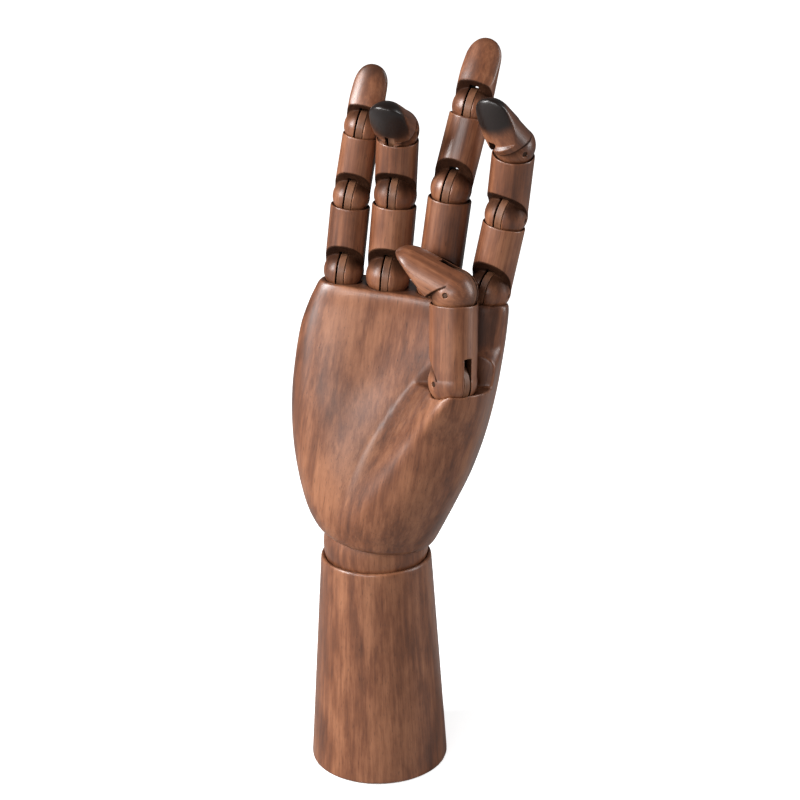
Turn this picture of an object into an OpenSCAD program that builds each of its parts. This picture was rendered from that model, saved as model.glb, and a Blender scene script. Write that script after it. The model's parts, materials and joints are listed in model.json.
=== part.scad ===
// Jointed artist's hand on a turned stand.
// Units are millimetres. Z is up, the foot stands on z = 0, the palm looks
// along -Y and the thumb is on the +X side. Every hinge is drawn in the
// posed position that counts as its zero.

/* [Stand] */
// Diameter of the foot
foot_d = 57; // [50:0.5:64]
// Diameter of the rim the wrist ball sits in
rim_d = 45; // [42:0.5:50]
// Height of the stand
stand_h = 92.5; // [70:0.5:120]
// Height of the wrist ball centre above the rim
ball_rise = 5; // [3:0.5:8]
// Radius of the wrist ball
ball_r = 21.4; // [19:0.1:22]

/* [Palm] */
// Sideways lean of the palm on the wrist ball, degrees
palm_lean = 8.5; // [0:0.5:12]
// Greatest width of the palm
palm_w = 81.2; // [76:0.2:92]
// Height of the palm above the wrist ball centre
palm_h = 108.4; // [92:0.2:125]
// Thickness of the palm, as a share of the drawn thickness
palm_thick = 1; // [0.95:0.01:1.1]
// Slope of the knuckle face, rise per millimetre across
knuckle_slope = 0.064; // [0:0.002:0.1]
// How far behind the wrist axis the finger row stands
row_back = 3; // [1:0.5:5]
// Depth of the dish in the palm
dish = 6; // [0:0.5:8]
// Forward swell of the thumb pad at its ledge
pad_bulge = 21; // [18:0.5:22]

/* [Finger places] */
// Little finger, distance across from the palm axis
little_x = -28.4; // [-32:0.2:-26]
// Ring finger, distance across from the palm axis
ring_x = -10.5; // [-12:0.2:-8]
// Middle finger, distance across from the palm axis
middle_x = 9.4; // [7:0.2:11]
// Index finger, distance across from the palm axis
index_x = 29.6; // [27:0.2:32]
// Thumb, distance across from the palm axis
thumb_x = 25; // [23:0.2:28]
// Thumb, distance in front of the palm axis
thumb_y = 22; // [19:0.5:24]
// Thumb, hinge height above the wrist ball centre
thumb_z = 83.6; // [76:0.5:88]

// Gap between the thumb and the knuckle column behind it
thumb_back_gap = 0.9; // [0.6:0.1:2]

/* [Little finger] */
// Base segment length, hinge to hinge
little_a = 30; // [25:0.5:36]
// Middle segment length, hinge to hinge
little_b = 27.8; // [23:0.5:33]
// End segment length, hinge to tip
little_c = 24.8; // [20:0.5:30]
// Base segment radius
little_ra = 7.7; // [6.6:0.05:7.8]
// Middle segment radius
little_rb = 7.05; // [6.2:0.05:7.4]
// End segment radius
little_rc = 6.9; // [6:0.05:7.2]

/* [Ring finger] */
// Base segment length, hinge to hinge
ring_a = 32.6; // [27:0.5:38]
// Middle segment length, hinge to hinge
ring_b = 26.8; // [23:0.5:32]
// End segment length, hinge to tip
ring_c = 24.5; // [20:0.5:30]
// Base segment radius
ring_ra = 8.6; // [7.4:0.05:8.7]
// Middle segment radius
ring_rb = 8.1; // [7:0.05:8.3]
// End segment radius
ring_rc = 7.9; // [6.8:0.05:8.1]

// Turn of the end hinge from the mid hinge, degrees
ring_twist = -8; // [-14:0.5:0]

/* [Middle finger] */
// Base segment length, hinge to hinge
middle_a = 37.8; // [32:0.5:43]
// Middle segment length, hinge to hinge
middle_b = 31.7; // [27:0.5:37]
// End segment length, hinge to tip
middle_c = 27.2; // [22:0.5:32]
// Base segment radius
middle_ra = 8.45; // [7.4:0.05:8.7]
// Middle segment radius
middle_rb = 7.75; // [6.8:0.05:8.1]
// End segment radius
middle_rc = 7.35; // [6.4:0.05:7.7]

/* [Index finger] */
// Base segment length, hinge to hinge
index_a = 30.7; // [26:0.5:36]
// Middle segment length, hinge to hinge
index_b = 29.8; // [25:0.5:34]
// End segment length, hinge to tip
index_c = 25.5; // [21:0.5:30]
// Base segment radius
index_ra = 8.3; // [7.2:0.05:8.6]
// Middle segment radius
index_rb = 8.1; // [7:0.05:8.3]
// End segment radius
index_rc = 7.75; // [6.6:0.05:8]

// Turn of the end hinge from the mid hinge, degrees
index_twist = -34; // [-38:0.5:0]

/* [Thumb] */
// Base segment length, hinge to hinge
thumb_a = 34.4; // [30:0.2:40]
// End segment length, hinge to tip
thumb_c = 28.5; // [24:0.5:33]
// Base segment radius
thumb_ra = 9.2; // [8.4:0.05:9.6]
// End segment radius
thumb_rc = 8.9; // [8:0.05:9.2]
// Turn of the end hinge from the base hinge, degrees
thumb_twist = 29; // [20:1:34]

/* [Joints] */
// Gap between a ball and the cup it turns in
cup_gap = 0.35; // [0.3:0.05:0.5]
// Gap between the wrist ball and its cups
wrist_gap = 0.35; // [0.3:0.05:0.5]
// How far each cup rim lies below the hinge, as a share of the radius
rim_drop = 0.45; // [0.4:0.01:0.5]
// Height of the palm side notch at the front, as a share of the radius
notch_rise = 1.48; // [1.4:0.02:1.56]
// Height of the ring end notch at the front, as a share of the radius
ring_notch = 0.8; // [0.76:0.02:1]
// Height of the index end notch at the front, as a share of the radius
index_notch = 0.56; // [0.54:0.02:0.8]
// Height of the thumb end notch at the front, as a share of the radius
thumb_notch = 1.02; // [0.96:0.02:1.2]
// Height of the palm side notch at the axis, as a share of the radius
notch_root = 0.45; // [0.4:0.01:0.5]
// Thickness of the wooden tongues
tongue_t = 2.7; // [2.4:0.1:3]
// Width of the saw kerf each tongue turns in
kerf_w = 3.4; // [3.2:0.1:3.8]
// Gap around a glued tongue in its slot
glue_gap = 0.05; // [0.03:0.01:0.08]
// Depth of the tongue slot below the cup
slot_depth = 6; // [4:0.5:7]
// Radius of the hinge pins
pin_r = 1; // [0.8:0.05:1.2]
// Radial gap of a pin pressed in a ball
pin_fit = 0.02; // [0.01:0.01:0.03]
// Radial running clearance of a pin in a tongue
pin_run = 0.06; // [0.04:0.01:0.1]

/* [Wrist hardware] */
// Wire radius of the eyes and of the eye bolt
rod_r = 1.6; // [1.4:0.1:1.8]
// Inner radius of the two linked eyes
eye_in = 3.4; // [3:0.1:4]
// Radial running clearance of the eye bolt in the stand
rod_run = 0.1; // [0.06:0.01:0.1]
// Radius of the tension spring, to the wire centre
spring_r = 6; // [5:0.1:7]
// Wire radius of the tension spring
spring_wire = 0.7; // [0.6:0.05:0.9]

/* [Pose] */
// Little finger knuckle bend
little_p0 = 0; // [-20:1:60]
// Little finger mid joint bend
little_p1 = 0; // [-20:1:80]
// Little finger end joint bend
little_p2 = 0; // [-20:1:80]
// Ring finger knuckle bend
ring_p0 = 0; // [-20:1:60]
// Ring finger mid joint bend
ring_p1 = 11; // [-20:1:80]
// Ring finger end joint bend
ring_p2 = 57; // [-20:1:80]
// Middle finger knuckle bend
middle_p0 = 0; // [-20:1:60]
// Middle finger mid joint bend
middle_p1 = -9; // [-20:1:80]
// Middle finger end joint bend
middle_p2 = 0; // [-20:1:80]
// Index finger knuckle bend
index_p0 = 0; // [-20:1:60]
// Index finger mid joint bend
index_p1 = 15; // [-20:1:80]
// Index finger end joint bend
index_p2 = 41; // [-20:1:80]
// Thumb base joint bend
thumb_p0 = 0; // [-20:1:60]
// Thumb end joint bend
thumb_p1 = 66; // [-20:1:80]

/* [Hidden] */
pivot_z = stand_h + ball_rise;
sx = palm_w / 81.2;
sz = palm_h / 108.4;
st = palm_thick;
$fn = 32;
// Radius of the drum that cuts the notches, in segment radii
notch_bow = 3.7;

// Joint geometry shared by every finger: [x, y, z, lean, back, turn]
function top_z(x) = palm_h + knuckle_slope * x;
function root(x, r, lean, turn) =
  [x, row_back, top_z(x) + rim_drop * r, lean, 0, turn];
ROOT_L = root(little_x, little_ra, -1.5, 3);
ROOT_R = root(ring_x, ring_ra, -2.8, 3);
ROOT_M = root(middle_x, middle_ra, -0.5, -4);
ROOT_I = root(index_x, index_ra, 3.6, -13);
ROOT_T = [thumb_x, -thumb_y, thumb_z, -8.8, -6.4, -100 - thumb_twist];

// Height of the thumb ledge below the thumb hinge
ledge = rim_drop * thumb_ra;

function ball(r) = r + 0.2;
function ease(t) = let (u = min(1, max(0, t))) u * u * (3 - 2 * u);
function bell(x, w) = exp(-x * x / (w * w));
function sgn(x) = x < 0 ? -1 : 1;

// Palm stations from the wrist to the knuckles:
// [height, left, right, front, back, squareness]
PALM = [
  [4.5, 22.6, 22.6, 22.4, 22.4, 1],
  [7, 26, 24.2, 24.5, 23.4, 1],
  [14, 30.6, 26.6, 26, 23.5, 0.97],
  [26, 35.4, 30.4, 26, 22.3, 0.94],
  [40, 39.2, 34.4, 24, 20.6, 0.88],
  [56, 41.6, 37.3, 20.5, 19, 0.8],
  [72, 42.3, 38.8, 16, 17.6, 0.74],
  [88, 41.9, 39.2, 12, 16.6, 0.74],
  [99, 39.8, 39, 9.8, 15.8, 0.75],
  [105, 37.9, 38.6, 9, 15, 0.75],
  [107.6, 36.9, 38, 8.2, 14.2, 0.75],
  [108.4, 36, 37.2, 7.4, 13.5, 0.75]
];
NP = len(PALM) - 1;
function cat(a, b, c, d, t) = 0.5 * (2 * b + (c - a) * t
  + (2 * a - 5 * b + 4 * c - d) * t * t + (3 * b - a - 3 * c + d) * t * t * t);
function station(u) = let (i = min(NP - 1, floor(u)), t = u - i)
  cat(PALM[max(0, i - 1)], PALM[i], PALM[i + 1], PALM[min(NP, i + 2)], t);
// Hollow of the palm and swell of the thumb pad, at height z, across x
function hollow(x, z) = dish * bell(x + 8 - 0.1 * (z - 60), 19) * bell(z - 62, 38);
function crest(z) = -7 + 0.28 * (z - 17) + 0.0025 * (z - 17) * (z - 17);
function flank(z) = 12 + 6 * ease((z - 20) / 25);
function swell(x, z) = pad_bulge * max(0, z - 10) / 67
  * ease((x - crest(z)) / flank(z) + 0.6) * (1 - ease((z - 81) / 12));
function rim_point(u, a) = let (s = station(u), c = cos(a), n = sin(a),
  x = (c < 0 ? s[1] : s[2]) * sgn(c) * pow(abs(c), s[5]),
  y0 = (n < 0 ? s[3] : s[4]) * sgn(n) * pow(abs(n), s[5]),
  y = n < 0 ? y0 + pow(-n, 0.7) * hollow(x, s[0]) - pow(-n, 0.35) * swell(x, s[0]) : y0)
  [x * sx, y * st, s[0] * sz + knuckle_slope * x * sx * ease((s[0] - 50) / 55)];
ROWS = 44;
COLS = 56;
function row_u(k) = NP * k / (ROWS - 1);

module palm_block() {
  pts = [for (k = [0 : ROWS - 1]) for (j = [0 : COLS - 1])
    rim_point(row_u(k), j * 360 / COLS)];
  sides = [for (k = [0 : ROWS - 2]) for (j = [0 : COLS - 1])
    let (a = k * COLS + j, b = k * COLS + (j + 1) % COLS)
    each [[a, a + COLS, b], [b, a + COLS, b + COLS]]];
  bottom = [[for (j = [0 : COLS - 1]) j]];
  top = [[for (j = [COLS - 1 : -1 : 0]) (ROWS - 1) * COLS + j]];
  polyhedron(points = pts, faces = concat(sides, bottom, top), convexity = 6);
}

// Frames
module on_ball() {
  translate([0, 0, pivot_z]) rotate([0, palm_lean, 0]) children();
}
module at_root(q) {
  on_ball() translate([q[0], q[1], q[2]]) rotate([0, q[3], 0])
    rotate([q[4], 0, 0]) rotate([0, 0, q[5]]) children();
}
module bend(a) { rotate([a, 0, 0]) children(); }
module step(l, lean) { translate([0, 0, l]) rotate([0, lean, 0]) children(); }

// Frames of the second and third hinge of each finger
module l1() { at_root(ROOT_L) bend(little_p0) step(little_a, 3.3) children(); }
module l2() { l1() bend(little_p1) step(little_b, 1.2) children(); }
module r1() { at_root(ROOT_R) bend(ring_p0) step(ring_a, -0.5) children(); }
module r2() {
  r1() bend(ring_p1) step(ring_b, 0) rotate([0, 0, ring_twist]) children();
}
module m1() { at_root(ROOT_M) bend(middle_p0) step(middle_a, 4.3) children(); }
module m2() { m1() bend(middle_p1) step(middle_b, -1.9) children(); }
module i1() { at_root(ROOT_I) bend(index_p0) step(index_a, 0) children(); }
module i2() {
  i1() bend(index_p1) step(index_b, 0) rotate([0, 0, index_twist]) children();
}
module t1() {
  at_root(ROOT_T) bend(thumb_p0) step(thumb_a, 0) rotate([0, 0, thumb_twist]) children();
}

// Removed from the part below a hinge: cup and tongue slot
module socket(r) {
  rb = ball(r);
  sphere(r = rb + cup_gap);
  w = tongue_t + 2 * glue_gap;
  h = 1.1 * r + 2 * glue_gap;
  translate([-w / 2, -h / 2, -rb - slot_depth - glue_gap])
    cube([w, h, rb + slot_depth]);
}
// Tongue and hinge pin, drawn in the hinge frame
module tongue(r) {
  rb = ball(r);
  difference() {
    union() {
      rotate([0, 90, 0]) cylinder(r = rb - 0.25, h = tongue_t, center = true);
      translate([-tongue_t / 2, -0.55 * r, -rb - slot_depth])
        cube([tongue_t, 1.1 * r, rb + slot_depth]);
    }
    rotate([0, 90, 0]) cylinder(r = pin_r + pin_run, h = 2 * tongue_t, center = true);
  }
}
module pin(r) {
  rotate([0, 90, 0]) cylinder(r = pin_r, h = 2 * ball(r) - 1, center = true);
}

// Wide drum cut across the palm side, above the ball
module notch(r, top) {
  rise = top - notch_root;
  half = sqrt(1 + rise * rise) / 2;
  reach = sqrt(notch_bow * notch_bow - half * half) / (2 * half);
  translate([0, r * (-0.5 - rise * reach), r * (notch_root + rise / 2 - reach)])
    rotate([0, 90, 0]) cylinder(r = notch_bow * r, h = 3 * r, center = true, $fn = 96);
}
// Ball, notched barrel, kerf and pin bore common to every segment
module barrel(r, r_top, h, top = notch_rise) {
  rb = ball(r);
  difference() {
    union() {
      difference() {
        translate([0, 0, 0.12 * r]) cylinder(r1 = r, r2 = r_top, h = h - 0.12 * r);
        notch(r, top);
      }
      sphere(r = rb);
    }
    translate([-kerf_w / 2, -2 * r, -2 * r]) cube([kerf_w, 4 * r, 3.1 * r]);
    rotate([0, 90, 0]) cylinder(r = pin_r + pin_fit, h = 4 * r, center = true);
  }
}
// Segment between two hinges
module link(r, r_top, l, r_next, lean, twist = 0) {
  difference() {
    barrel(r, r_top, l - rim_drop * r_top);
    step(l, lean) rotate([0, 0, twist]) socket(r_next);
  }
}
// Side outline of an end segment, in radii from the tip: the pad slopes back
// from above the notch to a rounded end
TIP_SIDE = [[1.02, -0.95], [0.98, -0.62], [0.9, -0.33], [0.76, -0.11], [0.58, 0],
  [0.4, -0.05], [0.24, -0.2], [0.06, -0.46], [-0.16, -0.86], [-0.38, -1.3],
  [-0.58, -1.76], [-0.76, -2.24]];
function tip_side(r, l) = concat([[-2 * r, -2 * r], [2 * r, -2 * r], [2 * r, l - r]],
  [for (q = TIP_SIDE) [q[0] * r, l + q[1] * r]], [[-1.04 * r, 0.9 * r], [-1.3 * r, -r]]);
// End segment
module tip(r, l, top = notch_rise) {
  intersection() {
    barrel(r, 0.97 * r, l, top);
    union() {
      translate([0, 0, l - 1.3 * r]) sphere(r = 1.3 * r);
      translate([0, 0, -2 * r]) cylinder(r = 1.28 * r, h = l + 0.7 * r);
    }
    rotate([90, 0, 90]) linear_extrude(height = 4 * r, center = true)
      polygon(tip_side(r, l));
  }
}

// Stand
module base() {
  color("saddlebrown") difference() {
    rotate_extrude($fn = 64) polygon([[0, 0], [foot_d / 2 - 1, 0],
      [foot_d / 2, 1], [rim_d / 2 + 0.15, stand_h - 1.2],
      [rim_d / 2 - 0.5, stand_h], [0, stand_h]]);
    translate([0, 0, pivot_z]) sphere(r = ball_r + wrist_gap, $fn = 64);
    translate([0, 0, -1]) cylinder(r = 12 + glue_gap, h = 42);
    cylinder(r = rod_r + rod_run, h = stand_h);
  }
}
module base_plug() {
  color("saddlebrown") cylinder(r = 12, h = 6);
}
module wrist_ball() {
  color("saddlebrown") translate([0, 0, pivot_z]) difference() {
    sphere(r = ball_r, $fn = 64);
    translate([0, 0, -ball_r - 1]) cylinder(r1 = 11.5, r2 = 8, h = ball_r + 1.01);
    cylinder(r1 = 8, r2 = 11.5, h = ball_r + 1);
  }
}
// Ring of an eye, hole along Y
module eye() {
  rotate([90, 0, 0]) rotate_extrude($fn = 48)
    translate([eye_in + rod_r, 0]) circle(r = rod_r, $fn = 24);
}
// Height of each eye's centre from the pivot, leaving 0.6 between the wires
link_z = eye_in - 0.3;
module eye_bolt() {
  color("silver") translate([0, 0, pivot_z]) {
    translate([0, 0, -link_z]) eye();
    translate([0, 0, 12 - pivot_z])
      cylinder(r = rod_r, h = pivot_z - 12 - link_z - eye_in - rod_r * 1.2);
  }
}
module palm_eye() {
  color("silver") on_ball() {
    translate([0, 0, link_z]) rotate([0, 0, 90]) eye();
    translate([0, 0, link_z + eye_in + rod_r * 1.2]) cylinder(r = rod_r, h = 26);
  }
}
module washer() {
  color("silver") translate([0, 0, 17]) difference() {
    cylinder(r = 8, h = 1.5);
    translate([0, 0, -1]) cylinder(r = rod_r + 0.05, h = 4);
  }
}
module nut() {
  color("silver") translate([0, 0, 14]) difference() {
    cylinder(r = 3.6, h = 3, $fn = 6);
    translate([0, 0, -1]) cylinder(r = rod_r + 0.02, h = 5);
  }
}
// Compression spring between the washer and the roof of the bottom bore
module wrist_spring() {
  n = 6 * 20;
  m = 8;
  z0 = 18.5 + spring_wire;
  rise = 41 - 0.3 - spring_wire - z0;
  pts = [for (i = [0 : n]) for (j = [0 : m - 1])
    let (a = i * 18, b = j * 360 / m, rr = spring_r + spring_wire * cos(b))
    [rr * cos(a), rr * sin(a), z0 + rise * i / n + spring_wire * sin(b)]];
  f = [for (i = [0 : n - 1]) for (j = [0 : m - 1])
    let (a = i * m + j, b = i * m + (j + 1) % m)
    each [[a, a + m, b], [b, a + m, b + m]]];
  color("silver") polyhedron(points = pts, faces = concat(f,
    [[for (j = [0 : m - 1]) j]], [[for (j = [m - 1 : -1 : 0]) n * m + j]]),
    convexity = 10);
}

// Palm
module palm() {
  color("saddlebrown") on_ball() difference() {
    palm_block();
    sphere(r = ball_r + wrist_gap, $fn = 64);
    cylinder(r = rod_r + 0.02, h = 40);
    translate([thumb_x, -thumb_y, thumb_z]) rotate([0, ROOT_T[3], 0])
      rotate([ROOT_T[4], 0, 0]) translate([-24, -24, -ledge])
      cube([54, 24 + thumb_ra + thumb_back_gap, 60]);
    translate([thumb_x, -thumb_y, thumb_z]) rotate([0, ROOT_T[3], 0])
      rotate([ROOT_T[4], 0, 0]) rotate([0, 0, ROOT_T[5]]) socket(thumb_ra);
    root_cut(ROOT_L, little_ra);
    root_cut(ROOT_R, ring_ra);
    root_cut(ROOT_M, middle_ra);
    root_cut(ROOT_I, index_ra);
  }
}
module root_cut(q, r) {
  translate([q[0], q[1], q[2]]) rotate([0, q[3], 0]) rotate([0, 0, q[5]]) socket(r);
}

// Segments
module little_base() {
  color("sienna") at_root(ROOT_L) bend(little_p0)
    link(little_ra, little_ra, little_a, little_rb, 3.3);
}
module little_mid() {
  color("sienna") l1() bend(little_p1)
    link(little_rb, little_rb, little_b, little_rc, 1.2);
}
module little_tip() {
  color("sienna") l2() bend(little_p2) tip(little_rc, little_c);
}
module ring_base() {
  color("sienna") at_root(ROOT_R) bend(ring_p0)
    link(ring_ra, ring_ra, ring_a, ring_rb, -0.5);
}
module ring_mid() {
  color("sienna") r1() bend(ring_p1)
    link(ring_rb, ring_rb, ring_b, ring_rc, 0, ring_twist);
}
module ring_tip() {
  color("sienna") r2() bend(ring_p2) tip(ring_rc, ring_c, ring_notch);
}
module middle_base() {
  color("sienna") at_root(ROOT_M) bend(middle_p0)
    link(middle_ra, middle_ra, middle_a, middle_rb, 4.3);
}
module middle_mid() {
  color("sienna") m1() bend(middle_p1)
    link(middle_rb, middle_rb, middle_b, middle_rc, -1.9);
}
module middle_tip() {
  color("sienna") m2() bend(middle_p2) tip(middle_rc, middle_c);
}
module index_base() {
  color("sienna") at_root(ROOT_I) bend(index_p0)
    link(index_ra, index_ra, index_a, index_rb, 0);
}
module index_mid() {
  color("sienna") i1() bend(index_p1)
    link(index_rb, index_rb, index_b, index_rc, 0, index_twist);
}
module index_tip() {
  color("sienna") i2() bend(index_p2) tip(index_rc, index_c, index_notch);
}
module thumb_base() {
  color("sienna") at_root(ROOT_T) bend(thumb_p0)
    link(thumb_ra, thumb_ra, thumb_a, thumb_rc, 0, thumb_twist);
}
module thumb_tip() {
  color("sienna") t1() bend(thumb_p1) tip(thumb_rc, thumb_c, thumb_notch);
}

// Tongues, glued in the part below each hinge
module little_tongue_a() { color("peru") at_root(ROOT_L) tongue(little_ra); }
module little_tongue_b() { color("peru") l1() tongue(little_rb); }
module little_tongue_c() { color("peru") l2() tongue(little_rc); }
module ring_tongue_a() { color("peru") at_root(ROOT_R) tongue(ring_ra); }
module ring_tongue_b() { color("peru") r1() tongue(ring_rb); }
module ring_tongue_c() { color("peru") r2() tongue(ring_rc); }
module middle_tongue_a() { color("peru") at_root(ROOT_M) tongue(middle_ra); }
module middle_tongue_b() { color("peru") m1() tongue(middle_rb); }
module middle_tongue_c() { color("peru") m2() tongue(middle_rc); }
module index_tongue_a() { color("peru") at_root(ROOT_I) tongue(index_ra); }
module index_tongue_b() { color("peru") i1() tongue(index_rb); }
module index_tongue_c() { color("peru") i2() tongue(index_rc); }
module thumb_tongue_a() { color("peru") at_root(ROOT_T) tongue(thumb_ra); }
module thumb_tongue_b() { color("peru") t1() tongue(thumb_rc); }

// Hinge pins, pressed in the balls
module little_pin_a() { color("silver") at_root(ROOT_L) bend(little_p0) pin(little_ra); }
module little_pin_b() { color("silver") l1() bend(little_p1) pin(little_rb); }
module little_pin_c() { color("silver") l2() bend(little_p2) pin(little_rc); }
module ring_pin_a() { color("silver") at_root(ROOT_R) bend(ring_p0) pin(ring_ra); }
module ring_pin_b() { color("silver") r1() bend(ring_p1) pin(ring_rb); }
module ring_pin_c() { color("silver") r2() bend(ring_p2) pin(ring_rc); }
module middle_pin_a() { color("silver") at_root(ROOT_M) bend(middle_p0) pin(middle_ra); }
module middle_pin_b() { color("silver") m1() bend(middle_p1) pin(middle_rb); }
module middle_pin_c() { color("silver") m2() bend(middle_p2) pin(middle_rc); }
module index_pin_a() { color("silver") at_root(ROOT_I) bend(index_p0) pin(index_ra); }
module index_pin_b() { color("silver") i1() bend(index_p1) pin(index_rb); }
module index_pin_c() { color("silver") i2() bend(index_p2) pin(index_rc); }
module thumb_pin_a() { color("silver") at_root(ROOT_T) bend(thumb_p0) pin(thumb_ra); }
module thumb_pin_b() { color("silver") t1() bend(thumb_p1) pin(thumb_rc); }

base();
base_plug();
wrist_ball();
eye_bolt();
wrist_spring();
washer();
nut();
palm();
palm_eye();
little_base();
little_mid();
little_tip();
ring_base();
ring_mid();
ring_tip();
middle_base();
middle_mid();
middle_tip();
index_base();
index_mid();
index_tip();
thumb_base();
thumb_tip();
little_tongue_a();
little_tongue_b();
little_tongue_c();
ring_tongue_a();
ring_tongue_b();
ring_tongue_c();
middle_tongue_a();
middle_tongue_b();
middle_tongue_c();
index_tongue_a();
index_tongue_b();
index_tongue_c();
thumb_tongue_a();
thumb_tongue_b();
little_pin_a();
little_pin_b();
little_pin_c();
ring_pin_a();
ring_pin_b();
ring_pin_c();
middle_pin_a();
middle_pin_b();
middle_pin_c();
index_pin_a();
index_pin_b();
index_pin_c();
thumb_pin_a();
thumb_pin_b();
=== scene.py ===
"""The visible model of a jointed artist's hand on a turned stand.

It is stained wood, with pins and wrist hardware of steel.
"""
import json
import math
import random

import bmesh
import bpy
import numpy as np
from mathutils import Matrix, Vector


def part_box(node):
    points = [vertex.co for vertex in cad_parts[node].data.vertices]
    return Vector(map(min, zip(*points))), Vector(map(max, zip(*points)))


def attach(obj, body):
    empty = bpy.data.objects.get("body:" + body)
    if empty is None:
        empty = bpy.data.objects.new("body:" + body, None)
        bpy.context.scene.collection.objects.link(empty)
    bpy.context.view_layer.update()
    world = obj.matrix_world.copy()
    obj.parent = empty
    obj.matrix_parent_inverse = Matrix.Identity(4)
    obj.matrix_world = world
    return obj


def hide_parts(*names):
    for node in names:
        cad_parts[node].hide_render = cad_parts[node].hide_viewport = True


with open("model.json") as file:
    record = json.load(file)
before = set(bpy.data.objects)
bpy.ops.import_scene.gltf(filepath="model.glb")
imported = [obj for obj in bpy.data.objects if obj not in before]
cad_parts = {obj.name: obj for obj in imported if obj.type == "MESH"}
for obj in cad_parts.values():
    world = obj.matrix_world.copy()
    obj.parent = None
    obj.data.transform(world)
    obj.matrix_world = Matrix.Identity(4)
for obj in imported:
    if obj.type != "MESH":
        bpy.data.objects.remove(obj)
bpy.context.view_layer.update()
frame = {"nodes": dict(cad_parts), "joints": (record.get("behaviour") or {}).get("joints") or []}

# ---------------------------------------------------------------- sizes, in metres

MM = 0.001
STEPS = 112                 # sides of a turned piece
WOOD_VOXEL = 0.3 * MM       # grid that eases the edges of a finger piece
PALM_VOXEL = 0.62 * MM
STAND_VOXEL = 0.7 * MM
BALL_OVER = 0.2 * MM        # a ball stands this proud of its segment
CUP_GAP = 0.35 * MM
RIM_DROP = 0.45             # cup rim below the hinge, in radii
# Palm side notch: height behind the axis and at the front, and the drum's radius, in radii
NOTCH = (0.45, 1.48, 3.7)
# Ends whose notch is cut lower at the front, in radii
LOW_NOTCH = {"ring_tip": 0.8, "index_tip": 0.56, "thumb_tip": 1.02}
KERF = 3.4 * MM
TONGUE = 2.7 * MM
TONGUE_SET = 0.2 * MM       # how far the tongues sit to one side of their kerfs
SLOT_DEEP = 6 * MM
NECK = 0.55                 # half width of a tongue's stem, in radii
BARREL_START = 0.12         # where a barrel's wood begins above its hinge, in radii
PIN_R = 1.0 * MM
PIN_SHORT = 0.5 * MM        # how far a pin's ends stay below the ball
RIM_EASE = 0.35 * MM        # rounding of a cup's outer rim

FINGERS = {
    "little": ("base", "mid", "tip"),
    "ring": ("base", "mid", "tip"),
    "middle": ("base", "mid", "tip"),
    "index": ("base", "mid", "tip"),
    "thumb": ("base", "tip"),
}
# How far each end segment is bent from the segment below it, degrees
TIP_BEND = {"little": 0, "ring": 57, "middle": 0, "index": 41, "thumb": 66}
# How far the dark end stain runs down each fingertip, in radii, and how strong it is
END_STAIN = {
    "little": (0.5, 0.55),
    "ring": (1.9, 1.0),
    "middle": (0.3, 0.3),
    "index": (1.45, 1.0),
    "thumb": (0.2, 0.3),
}

# Side outline of an end segment in radii from its tip, from the back over the end and down the pad
TIP_SIDE = [
    (1.02, -0.95), (0.98, -0.62), (0.9, -0.33), (0.76, -0.11), (0.58, 0), (0.4, -0.05),
    (0.24, -0.2), (0.06, -0.46), (-0.16, -0.86), (-0.38, -1.3), (-0.58, -1.76), (-0.76, -2.24),
]
END_ROUND = 1.1             # height of the rounded end of a fingertip, in radii
END_WAIST = 0.97            # radius of a fingertip where the end starts, against its barrel
PAD_ROUND = 0.3             # how much the pad falls away to its sides
PAD_TURN = {"index": 34}    # pads cut at a turn from their hinge, degrees
PAD_PASSES = 70             # passes of sanding that round the pad

# Palm outline from the wrist to the knuckles, millimetres:
# height, left, right, front, back, squareness
PALM = [
    (4.5, 22.6, 22.6, 22.4, 22.4, 1),
    (7, 26, 24.2, 24.5, 23.4, 1),
    (14, 30.6, 26.6, 26, 23.5, 0.97),
    (26, 35.4, 30.4, 26, 22.3, 0.94),
    (40, 39.2, 34.4, 24, 20.6, 0.88),
    (56, 41.6, 37.3, 20.5, 19, 0.8),
    (72, 42.3, 38.8, 16, 17.6, 0.74),
    (88, 41.9, 39.2, 12, 16.6, 0.74),
    (99, 39.8, 39, 9.8, 15.8, 0.75),
    (105, 37.9, 38.6, 9, 15, 0.75),
    (107.6, 36.9, 38, 8.2, 14.2, 0.75),
    (108.4, 36, 37.2, 7.4, 13.5, 0.75),
]
PALM_ROWS, PALM_COLUMNS = 150, 200
PALM_LEAN = math.radians(8.5)
KNUCKLE_SLOPE = 0.064           # rise of the knuckle line to the right
DISH = 6                        # depth of the hollow of the palm, millimetres
PAD_SWELL = 21                  # height of the thumb pad at its top, millimetres
THUMB_GAP = 0.9 * MM
THUMB_TURN = math.radians(129)  # turn of the thumb's base hinge from straight across
LEDGE = ((-24 * MM, -24 * MM), (30 * MM, 60 * MM))  # the thumb's ledge: left and front, right and top

BALL_R = 21.4 * MM
BALL_MOUTH = 11.5 * MM          # radius of the hole through the wrist ball at its ends
BALL_WAIST = 8 * MM             # and at its middle
WRIST_GAP = 0.35 * MM
RIM_SHARE = 45 / 57             # the stand's rim against its foot
FOOT_EASE = 1.0 * MM
STAND_EASE = 0.5 * MM
PLUG_EASE = 0.4 * MM
WELL_R = 12.05 * MM
WELL_LOW, WELL_HIGH = -1 * MM, 41 * MM
EYE_BORE_R = 1.7 * MM

# ---------------------------------------------------------------- places, from the frame

HINGE = {j["child"]: j for j in frame["joints"]}


def hinge_point(body):
    return Vector(HINGE[body]["pos_m"])


def hinge_axis(body):
    axis = Vector(HINGE[body]["axis"]).normalized()
    return -axis if body == "thumb_base" else axis


def square(point, x, z):
    """The matrix with its origin at a point, X along x and Z as near z as it can be."""
    z = (z - x * z.dot(x)).normalized()
    y = z.cross(x)
    m = Matrix((x, y, z)).transposed().to_4x4()
    m.translation = point
    return m


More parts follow.
